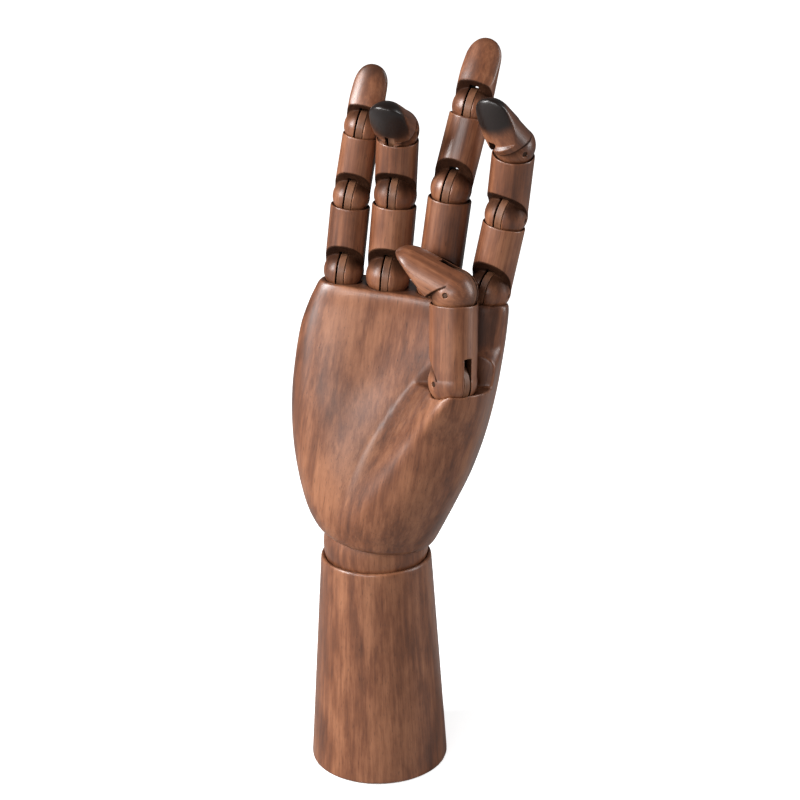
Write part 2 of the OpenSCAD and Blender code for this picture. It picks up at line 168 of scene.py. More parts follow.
def segment_frames():
    """For each segment: the frame it is drawn in, and the frame of the cup in its top, if it has one."""
    frames = {}
    for finger, parts in FINGERS.items():
        for k, part in enumerate(parts):
            body = f"{finger}_{part}"
            point, x = hinge_point(body), hinge_axis(body)
            if k + 1 < len(parts):
                upper = f"{finger}_{parts[k + 1]}"
                own = square(point, x, hinge_point(upper) - point)
                cup = square(hinge_point(upper), hinge_axis(upper), own.col[2].to_3d())
            else:
                bend = Matrix.Rotation(math.radians(TIP_BEND[finger]), 4, "X")
                own, cup = frames[f"{finger}_{parts[k - 1]}"][1] @ bend, None
            frames[body] = (own, cup)
    return frames


FRAMES = segment_frames()


def node_points(node):
    mesh = frame["nodes"][node].data
    co = np.empty(len(mesh.vertices) * 3, dtype=np.float32)
    mesh.vertices.foreach_get("co", co)
    return co.reshape(-1, 3).astype(float)


def in_frame(points, m):
    inv = np.array(m.inverted())
    return points @ inv[:3, :3].T + inv[:3, 3]


def segment_radius(body):
    """Radius of a segment's barrel, from the length of the pin through its ball."""
    finger, part = body.split("_")
    pin = f"{finger}_pin_{'abc'[FINGERS[finger].index(part)]}"
    x = in_frame(node_points(pin), FRAMES[body][0])[:, 0]
    return (x.max() - x.min()) / 2 + PIN_SHORT - BALL_OVER


RADIUS = {body: segment_radius(body) for body in FRAMES}


def upper_of(body):
    finger, part = body.split("_")
    parts = FINGERS[finger]
    k = parts.index(part)
    return f"{finger}_{parts[k + 1]}" if k + 1 < len(parts) else None


# ---------------------------------------------------------------- mesh tools


def turned(points, name, steps=STEPS):
    """A piece turned on Z from an outline of (radius, height) points."""
    bm = bmesh.new()
    verts = [bm.verts.new((r, 0, z)) for r, z in points]
    edges = [bm.edges.new(pair) for pair in zip(verts, verts[1:])]
    bmesh.ops.spin(bm, geom=verts + edges, cent=(0, 0, 0), axis=(0, 0, 1), angle=2 * math.pi,
                   steps=steps, use_merge=True)
    return finished(bm, name)


def finished(bm, name):
    bmesh.ops.remove_doubles(bm, verts=bm.verts, dist=1e-6)
    bmesh.ops.recalc_face_normals(bm, faces=bm.faces)
    mesh = bpy.data.meshes.new(name)
    bm.to_mesh(mesh)
    bm.free()
    piece = bpy.data.objects.new(name, mesh)
    bpy.context.scene.collection.objects.link(piece)
    return piece


def rod(radius, length, name="rod", sides=64):
    """A cylinder on Z, centred on its own middle."""
    bm = bmesh.new()
    bmesh.ops.create_cone(bm, cap_ends=True, segments=sides, radius1=radius, radius2=radius,
                          depth=length)
    return finished(bm, name)


def ball(radius, name="ball", rows=48):
    bm = bmesh.new()
    bmesh.ops.create_uvsphere(bm, u_segments=2 * rows, v_segments=rows, radius=radius)
    return finished(bm, name)


def block(low, high, name="block"):
    bm = bmesh.new()
    bmesh.ops.create_cube(bm, size=1)
    low, high = Vector(low), Vector(high)
    bmesh.ops.scale(bm, vec=high - low, verts=bm.verts)
    bmesh.ops.translate(bm, vec=(low + high) / 2, verts=bm.verts)
    return finished(bm, name)


def moved(piece, matrix):
    piece.data.transform(matrix)
    return piece


def along_x(piece):
    return moved(piece, Matrix.Rotation(math.pi / 2, 4, "Y"))


def shade_smooth(piece):
    piece.data.polygons.foreach_set("use_smooth", [True] * len(piece.data.polygons))
    return piece


def settle(piece):
    """Applies the piece's modifiers."""
    bpy.context.view_layer.update()
    graph = bpy.context.evaluated_depsgraph_get()
    mesh = bpy.data.meshes.new_from_object(piece.evaluated_get(graph))
    piece.modifiers.clear()
    old, piece.data = piece.data, mesh
    bpy.data.meshes.remove(old)
    mesh.name = piece.name
    return piece


def joinery(piece, *steps):
    """Cuts away and adds solids in turn: each step is (DIFFERENCE, UNION or INTERSECT, solid)."""
    for operation, solid in steps:
        cut = piece.modifiers.new(operation.lower(), "BOOLEAN")
        cut.operation, cut.object, cut.solver = operation, solid, "EXACT"
    settle(piece)
    for _, solid in steps:
        mesh = solid.data
        bpy.data.objects.remove(solid)
        bpy.data.meshes.remove(mesh)
    return piece


def sanded(piece, voxel, passes=2):
    """Eases every edge as sandpaper does, on an even grid of faces."""
    grid = piece.modifiers.new("grid", "REMESH")
    grid.mode, grid.voxel_size, grid.use_smooth_shade = "VOXEL", voxel, True
    soft = piece.modifiers.new("soft", "SMOOTH")
    soft.factor, soft.iterations = 0.5, passes
    return shade_smooth(settle(piece))


def arc(cx, cz, r, a0, a1, n):
    """Points (x, z) on an arc, angles in degrees from +X towards +Z."""
    return [(cx + r * math.cos(math.radians(a0 + (a1 - a0) * i / n)),
             cz + r * math.sin(math.radians(a0 + (a1 - a0) * i / n))) for i in range(n + 1)]


def between(t, before, start, end, after):
    """Values a share t of the way from start to end, on a smooth curve through all four."""
    return [0.5 * (2 * b + (c - a) * t + (2 * a - 5 * b + 4 * c - d) * t * t
            + (3 * b - a - 3 * c + d) * t ** 3) for a, b, c, d in zip(before, start, end, after)]


# ---------------------------------------------------------------- surface records


def mesh_arrays(piece):
    mesh = piece.data
    co = np.empty(len(mesh.vertices) * 3, dtype=np.float32)
    mesh.vertices.foreach_get("co", co)
    no = np.empty(len(mesh.vertices) * 3, dtype=np.float32)
    mesh.vertex_normals.foreach_get("vector", no)
    return co.reshape(-1, 3).astype(float), no.reshape(-1, 3).astype(float)


def edge_bend(piece, points, normals):
    """How sharply the surface turns at each point: above 0 on an outer edge, below 0 in a corner."""
    mesh = piece.data
    pairs = np.empty(len(mesh.edges) * 2, dtype=np.int32)
    mesh.edges.foreach_get("vertices", pairs)
    a, b = pairs.reshape(-1, 2).T
    total, count = np.zeros(len(points)), np.zeros(len(points))
    span = np.linalg.norm(points[b] - points[a], axis=1) + 1e-9
    for here, there in ((a, b), (b, a)):
        rise = ((points[here] - points[there]) * normals[here]).sum(1) / span
        total += np.bincount(here, rise, len(points))
        count += np.bincount(here, minlength=len(points))
    bend = total / np.maximum(count, 1)
    for _ in range(2):
        near = np.bincount(a, bend[b], len(points)) + np.bincount(b, bend[a], len(points))
        bend = 0.5 * bend + 0.5 * near / np.maximum(count, 1)
    return bend


def record_floats(piece, name, values):
    layer = piece.data.attributes.new(name, "FLOAT", "POINT")
    layer.data.foreach_set("value", np.asarray(values, dtype=np.float32))


def record_grain(piece, local, seed):
    """Stores each point's place in the plank it was cut from, with the grain along Z."""
    pick = random.Random(seed)
    shift = np.array([pick.uniform(-0.5, 0.5), pick.uniform(-0.5, 0.5), pick.uniform(-0.5, 0.5)])
    turn = pick.uniform(0, 2 * math.pi)
    c, s = math.cos(turn), math.sin(turn)
    plank = local @ np.array([[c, s, 0], [-s, c, 0], [0, 0, 1]]) + shift
    layer = piece.data.attributes.new("grain", "FLOAT_VECTOR", "POINT")
    layer.data.foreach_set("vector", plank.astype(np.float32).ravel())


def ramp(x, low, high):
    t = np.clip((x - low) / (high - low), 0, 1)
    return t * t * (3 - 2 * t)


def finish_wood(piece, m, seed, extra_darkness=None, tip=None):
    """Records grain, worn edges with a painted highlight, and stain with painted shade in creases, for a
    wooden piece drawn in frame m.
    """
    points, normals = mesh_arrays(piece)
    inv = np.array(m.inverted())
    local, facing = in_frame(points, m), normals @ inv[:3, :3].T
    bend = edge_bend(piece, points, normals)
    record_grain(piece, local, seed)
    # convex edges lightened: partly stain worn off the edges, partly a painted highlight along them
    record_floats(piece, "wear_and_edge_highlight", ramp(bend, 0.06, 0.3))
    # painted shade: concave corners are darkened from the surface's bend, and their gloss is dulled
    crease_shade = ramp(-bend, 0.05, 0.25)
    end_grain = ramp(np.abs(facing[:, 2]), 0.72, 0.98)
    # real stain on the end grain, together with the painted shade in the creases
    stain_and_shade = np.maximum(0.45 * end_grain, 0.6 * crease_shade)
    dull = 0.8 * crease_shade
    # extra darkness from the caller: sawn faces with a painted notch shadow, or the darker palm valley
    if extra_darkness is not None:
        stain_and_shade = np.maximum(stain_and_shade, extra_darkness(local))
        dull = np.maximum(dull, extra_darkness(local) ** 0.5)
    if tip is not None:
        stain_and_shade = np.maximum(stain_and_shade, tip(local, facing))
    record_floats(piece, "stain_and_shade", stain_and_shade)
    record_floats(piece, "dull", dull)


# ---------------------------------------------------------------- materials


class Nodes:
    """Short names for building a material's node tree."""

    def __init__(self, name):
        self.material = bpy.data.materials.new(name)
        self.material.use_nodes = True
        self.tree = self.material.node_tree
        self.tree.nodes.clear()

    def add(self, kind, inputs=None, **settings):
        node = self.tree.nodes.new(kind)
        for key, value in settings.items():
            setattr(node, key, value)
        for key, value in (inputs or {}).items():
            if isinstance(value, bpy.types.NodeSocket):
                self.tree.links.new(value, node.inputs[key])
            else:
                node.inputs[key].default_value = value
        return node

    def math(self, operation, a, b=0.0, c=0.0, clamp=False):
        inputs = {0: a, 1: b, 2: c}
        return self.add("ShaderNodeMath", inputs, operation=operation, use_clamp=clamp).outputs[0]

    def mix(self, factor, a, b):
        return self.add("ShaderNodeMix", {0: factor, 6: a, 7: b}, data_type="RGBA").outputs[2]

    def noise(self, vector, scale, detail=2.0, roughness=0.5, distortion=0.0):
        return self.add("ShaderNodeTexNoise", {"Vector": vector, "Scale": scale, "Detail": detail,
                        "Roughness": roughness, "Distortion": distortion}).outputs["Fac"]

    def stretch(self, vector, scale):
        return self.add("ShaderNodeMapping", {"Vector": vector, "Scale": scale}).outputs[0]

    def range(self, value, low, high, to_low=0.0, to_high=1.0):
        return self.add("ShaderNodeMapRange", {0: value, 1: low, 2: high, 3: to_low, 4: to_high},
                        interpolation_type="SMOOTHSTEP").outputs[0]

    def ramp(self, value, stops):
        node = self.add("ShaderNodeValToRGB", {0: value})
        band = node.color_ramp
        while len(band.elements) < len(stops):
            band.elements.new(0.5)
        for element, (place, colour) in zip(band.elements, stops):
            element.position, element.color = place, (*colour, 1)
        return node.outputs[0]

    def attribute(self, name):
        return self.add("ShaderNodeAttribute", attribute_name=name, attribute_type="GEOMETRY")

    def output(self, shader):
        self.add("ShaderNodeOutputMaterial", {0: shader})
        return self.material


def stained_wood(name, dark, mid, light, roughness=0.4, coat=0.25):
    """Fine-grained hardwood under a brown stain and a thin satin coat."""
    n = Nodes(name)
    grain = n.attribute("grain").outputs["Vector"]
    wear_and_edge_highlight = n.attribute("wear_and_edge_highlight").outputs["Fac"]
    stain_and_shade = n.attribute("stain_and_shade").outputs["Fac"]
    dull = n.attribute("dull").outputs["Fac"]
    # slow change of tone, growth bands along the grain, fibres, and short pores
    cloud = n.noise(n.stretch(grain, (70, 70, 16)), 1, 3, 0.55)
    warp = n.noise(n.stretch(grain, (60, 60, 9)), 1, 2, 0.5)
    bands = n.noise(n.stretch(grain, (420, 420, 11)), 1, 3, 0.6, 0.4)
    fibre = n.noise(n.stretch(grain, (1500, 1500, 60)), 1, 3, 0.65)
    pores = n.noise(n.stretch(grain, (3600, 3600, 210)), 1, 1, 0.5)
    blotch = n.noise(n.stretch(grain, (130, 130, 60)), 1, 4, 0.6)
    pore = n.range(pores, 0.64, 0.76)
    tone = n.math("ADD", n.math("MULTIPLY", cloud, 0.5), n.math("MULTIPLY", bands, 0.34))
    tone = n.math("ADD", tone, n.math("MULTIPLY", fibre, 0.2))
    tone = n.math("ADD", tone, n.math("MULTIPLY", blotch, 0.3))
    tone = n.math("ADD", tone, n.math("MULTIPLY", warp, 0.1))
    tone = n.range(tone, 0.5, 0.94)
    colour = n.ramp(tone, [(0.0, dark), (0.45, mid), (1.0, light)])
    colour = n.mix(n.math("MULTIPLY", pore, 0.6), colour, (*[c * 0.35 for c in dark], 1))
    # convex edges mixed toward a lighter tone: worn edges plus a painted edge highlight
    colour = n.mix(n.math("MULTIPLY", wear_and_edge_highlight, 0.35), colour, (*[min(1, c * 1.5) for c in light], 1))
    # darkened toward the dark stain: real stain on end grain, sawn faces and tips, with painted shade in
    # creases and under the notches
    colour = n.mix(stain_and_shade, colour, (*[c * 0.1 for c in dark], 1))
    gloss = n.math("MULTIPLY", n.math("SUBTRACT", 1.0, dull, clamp=True), coat)
    shine = n.math("MULTIPLY_ADD", dull, -0.34, 0.38)
    rough = n.math("ADD", roughness - 0.09, n.math("MULTIPLY", blotch, 0.18))
    rough = n.math("ADD", rough, n.math("MULTIPLY", dull, 0.3), clamp=True)
    height = n.math("SUBTRACT", n.math("MULTIPLY", fibre, 0.35), n.math("MULTIPLY", pore, 0.8))
    height = n.math("ADD", height, n.math("MULTIPLY", blotch, 0.5))
    bump = n.add("ShaderNodeBump", {"Strength": 0.22, "Distance": 0.00012, "Height": height})
    shader = n.add("ShaderNodeBsdfPrincipled", {
        "Base Color": colour, "Roughness": rough, "Normal": bump.outputs[0],
        "Specular IOR Level": shine, "Coat Weight": gloss, "Coat Roughness": 0.3})
    return n.output(shader.outputs[0])


def bare_steel(name, colour, roughness):
    """Drawn wire and turned hardware, with faint draw lines and dull spots."""
    n = Nodes(name)
    place = n.add("ShaderNodeTexCoord").outputs["Object"]
    lines = n.noise(n.stretch(place, (2600, 2600, 500)), 1, 2)
    spots = n.noise(place, 900, 3)
    rough = n.math("ADD", roughness - 0.08, n.math("MULTIPLY", spots, 0.2))
    tint = n.mix(n.range(spots, 0.45, 0.75), (*colour, 1), (*[c * 0.55 for c in colour], 1))
    bump = n.add("ShaderNodeBump", {"Strength": 0.15, "Distance": 0.00005, "Height": lines})
    shader = n.add("ShaderNodeBsdfPrincipled", {
        "Base Color": tint, "Metallic": 1.0, "Roughness": rough, "Normal": bump.outputs[0]})
    return n.output(shader.outputs[0])


STAIN_DARK = (0.070, 0.024, 0.012)
STAIN_MID = (0.165, 0.058, 0.026)
STAIN_LIGHT = (0.310, 0.128, 0.062)
BODY_WOOD = stained_wood("stained_wood", STAIN_DARK, STAIN_MID, STAIN_LIGHT, 0.4, 0.4)
TONGUE_WOOD = stained_wood("tongue_wood", (0.062, 0.024, 0.012), (0.140, 0.056, 0.027),
                           (0.22, 0.100, 0.052), 0.5, 0.12)
STEEL = bare_steel("steel", (0.56, 0.55, 0.53), 0.34)
PIN_STEEL = bare_steel("stained_pin", (0.085, 0.05, 0.036), 0.45)


def dress(piece, material, body, node):
    piece.data.materials.clear()
    piece.data.materials.append(material)
    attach(piece, body)
    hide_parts(node)
    return piece


# ---------------------------------------------------------------- finger pieces


def socket_cutters(r, m):
    """What is cut from the part below a hinge: the ball's cup and the tongue's slot."""
    rb = r + BALL_OVER
    cup = moved(ball(rb + CUP_GAP, "cup"), m)
    half = TONGUE / 2 + TONGUE_SET + 0.05 * MM
    slot = moved(block((-half, -NECK * r, -rb - SLOT_DEEP), (half, NECK * r, 0), "slot"), m)
    return [("DIFFERENCE", cup), ("DIFFERENCE", slot)]


def notch_top(body):
    """How high the front of a segment's notch is, in radii."""
    return LOW_NOTCH.get(body, NOTCH[1])


def notch_drum(r, top):
    """The wide drum whose edge cuts the notch across the palm side, above the ball."""
    # a hair to one side, so that no corner of the drum meets one of the barrel
    place = Matrix.Translation((0.013 * MM, *notch_centre(r, top)))
    return moved(along_x(rod(NOTCH[2] * r, 3.07 * r, "notch", 250)), place)


def ball_cutters(r, top):
    """Palm side notch above the ball, then the ball itself, the kerf and the pin's bore."""
    kerf = block((-KERF / 2, -2 * r, -2 * r), (KERF / 2, 2 * r, 1.1 * r), "kerf")
    bore = along_x(rod(PIN_R + 0.02 * MM, 4 * r, "bore", 32))
    return [("DIFFERENCE", notch_drum(r, top)), ("UNION", ball(r + BALL_OVER)),
            ("DIFFERENCE", kerf), ("DIFFERENCE", bore)]


def notch_centre(r, high):
    """Where the notch drum's axis crosses the segment's middle plane, (y, z)."""
    low, _, bow = NOTCH
    rise = high - low
    half = math.hypot(1, rise) / 2
    reach = math.sqrt(bow * bow - half * half) / (2 * half)
    return r * (-0.5 - rise * reach), r * (low + rise / 2 - reach)


def sawn_faces_and_notch_shadow(r, notch, top):
    """Darkness of the sawn faces: notch, kerf and cup; and a painted shadow on the ball where it runs up
    into the notch.
    """
    cy, cz = notch_centre(r, notch)

    def darkness(local):
        x, y, z = local.T
        radial = np.hypot(x, y)
        on_drum = ramp(0.55 * MM - np.abs(np.hypot(y - cy, z - cz) - NOTCH[2] * r), 0, 0.3 * MM)
        on_drum *= (z > 0.1 * r) & (radial < r + 0.1 * MM)
        in_kerf = (np.abs(x) < KERF / 2 + 0.12 * MM) & (radial < r - 0.1 * MM) & (z < 1.1 * r)
        in_cup = (z > top) & (radial < r - 0.3 * MM)
        on_ball = np.abs(np.linalg.norm(local, axis=1) - r - BALL_OVER) < 0.3 * MM
        # painted shadow: the ball's upper front darkened toward the notch, as if shaded by the notch's
        # overhang
        notch_shadow = 0.75 * on_ball * ramp(z + 0.25 * np.abs(x), 0.3 * r, 0.85 * r) * (y < 0)
        return np.maximum.reduce([0.85 * on_drum, 0.9 * in_kerf, 0.85 * in_cup, notch_shadow])
    return darkness


def link_piece(body):
    """A base or middle segment: ball below, cup above."""
    own, cup = FRAMES[body]
    r, upper = RADIUS[body], upper_of(body)
    length = (cup.translation - own.translation).length
    top = length - RIM_DROP * r
    start = BARREL_START * r
    outline = [(0, start), (r, start), (r, top - RIM_EASE)]
    outline += arc(r - RIM_EASE, top - RIM_EASE, RIM_EASE, 20, 90, 4) + [(0, top)]
    piece = turned(outline, body)
    steps = ball_cutters(r, notch_top(body))
    steps += socket_cutters(RADIUS[upper], own.inverted() @ cup)
    joinery(piece, *steps)
    sanded(piece, WOOD_VOXEL)
    moved(piece, own)
    finish_wood(piece, own, body, sawn_faces_and_notch_shadow(r, notch_top(body), top - 0.5 * MM))
    return dress(piece, BODY_WOOD, body, body)


def smooth_line(points, n):
    """Points on a smooth curve through the given ones."""
    out = []
    ends = [points[0]] + points + [points[-1]]
    for near in zip(ends, ends[1:], ends[2:], ends[3:]):
        out += [between(i / n, *near) for i in range(n)]
    return out + [points[-1]]


def pad_profile(r, length):
    """Side outline of an end segment, (y, z): straight back, rounded end, pad down to the notch."""
    curve = [(y * r, length + z * r) for y, z in smooth_line(TIP_SIDE, 6)]
    return ([(-2 * r, -2 * r), (2 * r, -2 * r), (2 * r, length - r)] + curve
            + [(-1.04 * r, 0.9 * r), (-1.3 * r, -r)])


def pad_form(r, length):
    """What an end segment is trimmed to: its side outline run across, falling away at the sides."""
    bm = bmesh.new()
    slices = []
    outline = pad_profile(r, length)
    last = len(outline)
    for x in np.linspace(-1.6 * r, 1.6 * r, 33):
        fall = PAD_ROUND * min(abs(x), 1.15 * r) ** 2 / r
        ring = [bm.verts.new((x, y + fall * (3 <= i < last - 1), z - 0.8 * fall * (2 <= i < last - 2)))
                for i, (y, z) in enumerate(outline)]
        slices.append([bm.edges.new(pair) for pair in zip(ring, ring[1:] + ring[:1])])
    for left, right in zip(slices, slices[1:]):
        bmesh.ops.bridge_loops(bm, edges=left + right)
    bmesh.ops.holes_fill(bm, edges=slices[0] + slices[-1])
    return finished(bm, "pad")


def rounded_end(piece, r):
    """Sands the pad and the end round, leaving the ball, the kerf and the notch crisp."""
    points, _ = mesh_arrays(piece)
    group = piece.vertex_groups.new(name="end")
    share = ramp(points[:, 2], 1.3 * r, 2.0 * r)
    for level in range(1, 11):
        hit = np.nonzero(np.round(share * 10).astype(int) == level)[0]
        if len(hit):
            group.add(hit.tolist(), level / 10, "REPLACE")
    soft = piece.modifiers.new("soft", "SMOOTH")
    soft.factor, soft.iterations, soft.vertex_group = 0.5, PAD_PASSES, "end"
    shade_smooth(settle(piece))


def tip_piece(body):
    """An end segment: ball below, rounded end and sloping pad above."""
    own, finger = FRAMES[body][0], body.split("_")[0]
    r = RADIUS[body]
    length = float(in_frame(node_points(body), own)[:, 2].max())
    start, shoulder, waist = BARREL_START * r, length - END_ROUND * r, END_WAIST * r
    outline = [(0, start), (r, start), (waist, shoulder)]
    outline += [(waist * math.cos(t) ** 0.8, shoulder + END_ROUND * r * math.sin(t))
                for t in np.linspace(0.08, math.pi / 2 - 0.02, 24)] + [(0, length)]
    piece = turned(outline, body)
    facing_pad = Matrix.Rotation(math.radians(PAD_TURN.get(finger, 0)), 4, "Z")
    steps = [("INTERSECT", moved(pad_form(r, length), facing_pad))]
    steps += ball_cutters(r, notch_top(body))
    joinery(piece, *steps)
    sanded(piece, WOOD_VOXEL)
    rounded_end(piece, r)
    moved(piece, own)

    run, strength = END_STAIN[finger]

    def cap(local, facing):
        """The end grain of the tip drinks the stain and goes dark, and so does the pad below it."""
        down = (length - local[:, 2]) / r
        pad = ramp(facing[:, 2], 0.08, 0.4) * ramp(down, run + 0.5, run - 0.15)
        return strength * np.maximum(pad, ramp(down, run * 0.5, run * 0.25))

    finish_wood(piece, own, body, sawn_faces_and_notch_shadow(r, notch_top(body), 2 * length), cap)
    return dress(piece, BODY_WOOD, body, body)


def tongue_piece(finger, k):
    """The thin plate each segment turns on, with a round head."""
    letter, body = "abc"[k], f"{finger}_{FINGERS[finger][k]}"
    own = FRAMES[body][0]
    lower = "palm" if k == 0 else f"{finger}_{FINGERS[finger][k - 1]}"
    cup = own if k == 0 else FRAMES[lower][1]
    r = RADIUS[body]
    rb = r + BALL_OVER
    head = rb - 0.25 * MM
    neck = math.degrees(math.asin(NECK * r / head))
    outline = arc(0, 0, head, -90 + neck, 270 - neck, 56)
    outline += [(-NECK * r, -rb - SLOT_DEEP), (NECK * r, -rb - SLOT_DEEP)]
    bm = bmesh.new()
    face = bm.faces.new([bm.verts.new((-TONGUE / 2, y, z)) for y, z in outline])
    grown = bmesh.ops.extrude_face_region(bm, geom=[face])
    bmesh.ops.translate(bm, vec=(TONGUE, 0, 0),
                        verts=[v for v in grown["geom"] if isinstance(v, bmesh.types.BMVert)])
    bmesh.ops.recalc_face_normals(bm, faces=bm.faces)
    rim = [e for e in bm.edges if e.is_manifold and e.calc_face_angle(0) > 1.2]
    bmesh.ops.bevel(bm, geom=rim, offset=0.22 * MM, segments=2, profile=0.5, affect="EDGES", material=-1)
    name = f"{finger}_tongue_{letter}"
    bore = along_x(rod(PIN_R + 0.06 * MM, 3 * TONGUE, "bore", 32))
    piece = joinery(finished(bm, name), ("DIFFERENCE", bore))
    moved(piece, cup @ Matrix.Translation((TONGUE_SET, 0, 0)))
    finish_wood(piece, cup, name)
    return dress(piece, TONGUE_WOOD, lower, name)


def pin_piece(finger, k):
    """The wire pin across a ball."""
    letter, body = "abc"[k], f"{finger}_{FINGERS[finger][k]}"
    name = f"{finger}_pin_{letter}"
    half = RADIUS[body] + BALL_OVER - PIN_SHORT
    ease = 0.2 * MM
    piece = turned([(0, -half), (PIN_R - ease, -half), (PIN_R, -half + ease),
                    (PIN_R, half - ease), (PIN_R - ease, half), (0, half)], name, 40)
    moved(along_x(piece), FRAMES[body][0])
    return dress(piece, PIN_STEEL, body, name)


# ---------------------------------------------------------------- palm


def ease(t):
    u = min(1.0, max(0.0, t))
    return u * u * (3 - 2 * u)


def bell(x, w):
    return math.exp(-x * x / (w * w))


def palm_station(u):
    """The palm's outline values at a place along its height, on a smooth curve through the stations."""
    i = min(len(PALM) - 2, int(u))
    return between(u - i, *(PALM[min(len(PALM) - 1, max(0, i + k))] for k in (-1, 0, 1, 2)))


def crest(z):
    """How far across the edge of the thumb pad lies, at a height."""
    return -7 + 0.28 * (z - 17) + 0.0025 * (z - 17) ** 2


def flank(z):
    """How wide the slope beside the thumb pad is, at a height."""
    return 12 + 6 * ease((z - 20) / 25)


def palm_point(u, angle):
    """A point of the palm's skin, at a place along its height and an angle around it."""
    z, left, right, front, back, square_by = palm_station(u)
    c, n = math.cos(angle), math.sin(angle)
    x = (left if c < 0 else right) * math.copysign(abs(c) ** square_by, c)
    y = (front if n < 0 else back) * math.copysign(abs(n) ** square_by, n)
    if n < 0:
        hollow = DISH * bell(x + 8 - 0.1 * (z - 60), 19) * bell(z - 62, 38)
        swell = (PAD_SWELL * (0.76 + 0.24 * ease((z - 56) / 20)) * max(0, z - 10) / 67
                 * ease((x - crest(z)) / flank(z) + 0.6)
                 * (1 - ease((z - 81) / 12)))
        y += abs(n) ** 0.7 * hollow - abs(n) ** 0.35 * swell
    return Vector((x, y, z + KNUCKLE_SLOPE * x * ease((z - 50) / 55))) * MM


def palm_piece():
    """The palm, with its wrist cup, the thumb's ledge and the five sockets."""
    bm = bmesh.new()
    rings = []
    for k in range(PALM_ROWS):
        u = (len(PALM) - 1) * k / (PALM_ROWS - 1)
        ring = bmesh.ops.create_circle(bm, segments=PALM_COLUMNS, radius=1)["verts"]
        for j, v in enumerate(ring):
            v.co = palm_point(u, 2 * math.pi * j / PALM_COLUMNS)
        rings.append(ring)
    for lower, upper in zip(rings, rings[1:]):
        edges = {e for v in lower + upper for e in v.link_edges if len(e.link_faces) < 2}
        sets = (set(lower), set(upper))
        loop = [e for e in edges if any(set(e.verts) <= s for s in sets)]
        bmesh.ops.bridge_loops(bm, edges=loop)
    for ring in (rings[0], rings[-1]):
        bm.faces.new(ring)
    piece = finished(bm, "palm")
    place = Matrix.Translation(hinge_point("palm")) @ Matrix.Rotation(PALM_LEAN, 4, "Y")
    inward = place.inverted()
    cuts = [("DIFFERENCE", ball(BALL_R + WRIST_GAP, "wrist_cup", 64))]
    r = RADIUS["thumb_base"]
    turned_flat = inward @ FRAMES["thumb_base"][0] @ Matrix.Rotation(THUMB_TURN, 4, "Z")
    (left, front), (right, top) = LEDGE
    ledge = block((left, front, -RIM_DROP * r), (right, r + THUMB_GAP, top), "ledge")
    cuts.append(("DIFFERENCE", moved(ledge, turned_flat)))
    for finger in FINGERS:
        body = f"{finger}_base"
        cuts += socket_cutters(RADIUS[body], inward @ FRAMES[body][0])
    joinery(piece, *cuts)
    sanded(piece, PALM_VOXEL, 3)
    moved(piece, place)

    def valley_darkening(local):
        """Darker colour and duller gloss in the valley beside the thumb pad and under the ledge."""
        x, y, z = local.T / MM
        cross = np.array([(a - crest(h)) / flank(h) for a, h in zip(x, z)])
        valley = np.exp(-((cross + 0.32) / 0.4) ** 2) * (y < -4)
        return 0.42 * valley * ramp(z, 18, 44) * (1 - ramp(z, 76, 92))

    finish_wood(piece, place, "palm", valley_darkening)
    return dress(piece, BODY_WOOD, "palm", "palm")


# ---------------------------------------------------------------- stand and wrist


def raised(piece, z):
    return moved(piece, Matrix.Translation((0, 0, z)))


def stand_piece():
    """The turned stand: cup in its top, well in its foot, and the eye bolt's bore between them."""
    low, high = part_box("base")
    foot_r, height = (high.x - low.x) / 2, high.z - low.z
    rim_r, shoulder = foot_r * RIM_SHARE, height - STAND_EASE
    outline = [(0, 0)] + arc(foot_r - FOOT_EASE, FOOT_EASE, FOOT_EASE, -90, 0, 6)
    outline += [(rim_r + 0.06 * MM, shoulder)]
    outline += arc(rim_r - STAND_EASE, shoulder, STAND_EASE, 10, 90, 5) + [(0, height)]
    piece = turned(outline, "base", 160)
    cup = raised(ball(BALL_R + WRIST_GAP, "cup", 64), hinge_point("palm").z)
    well = raised(rod(WELL_R, WELL_HIGH - WELL_LOW, "well", 96), (WELL_HIGH + WELL_LOW) / 2)
    bore = raised(rod(EYE_BORE_R, height, "bore", 32), height / 2 + 5 * MM)
    joinery(piece, ("DIFFERENCE", cup), ("DIFFERENCE", well), ("DIFFERENCE", bore))
    sanded(piece, STAND_VOXEL)
    finish_wood(piece, Matrix.Identity(4), "base")
    dress(piece, BODY_WOOD, "base", "base")


def plug_piece():
    """The wooden disc that closes the well from below."""
    low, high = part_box("base_plug")
    r, h = (high.x - low.x) / 2, high.z
    outline = [(0, 0)] + arc(r - PLUG_EASE, PLUG_EASE, PLUG_EASE, -90, 0, 4) + [(r, h), (0, h)]
    piece = turned(outline, "base_plug", 96)
    finish_wood(piece, Matrix.Identity(4), "base_plug")
    dress(piece, BODY_WOOD, "base", "base_plug")


def wrist_ball_piece():
    """The wrist's ball, with a hole through it that narrows to its middle."""
    mouth = math.sqrt(BALL_R ** 2 - BALL_MOUTH ** 2)
    a = math.degrees(math.asin(mouth / BALL_R))
    outline = arc(0, 0, BALL_R, -a, a, 72) + [(BALL_WAIST, 0), (BALL_MOUTH, -mouth)]
    place = Matrix.Translation((0, 0, hinge_point("palm").z))
    piece = moved(shade_smooth(turned(outline, "wrist_ball", 160)), place)
    finish_wood(piece, place, "wrist_ball")
    dress(piece, BODY_WOOD, "wrist_ball", "wrist_ball")


def steel_hardware():
    """The eyes, spring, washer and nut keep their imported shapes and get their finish."""
    for node in ("eye_bolt", "wrist_spring", "washer", "nut", "palm_eye"):
        part = frame["nodes"][node]
        part.data.materials.clear()
        part.data.materials.append(STEEL)


# ---------------------------------------------------------------- floor, light and camera


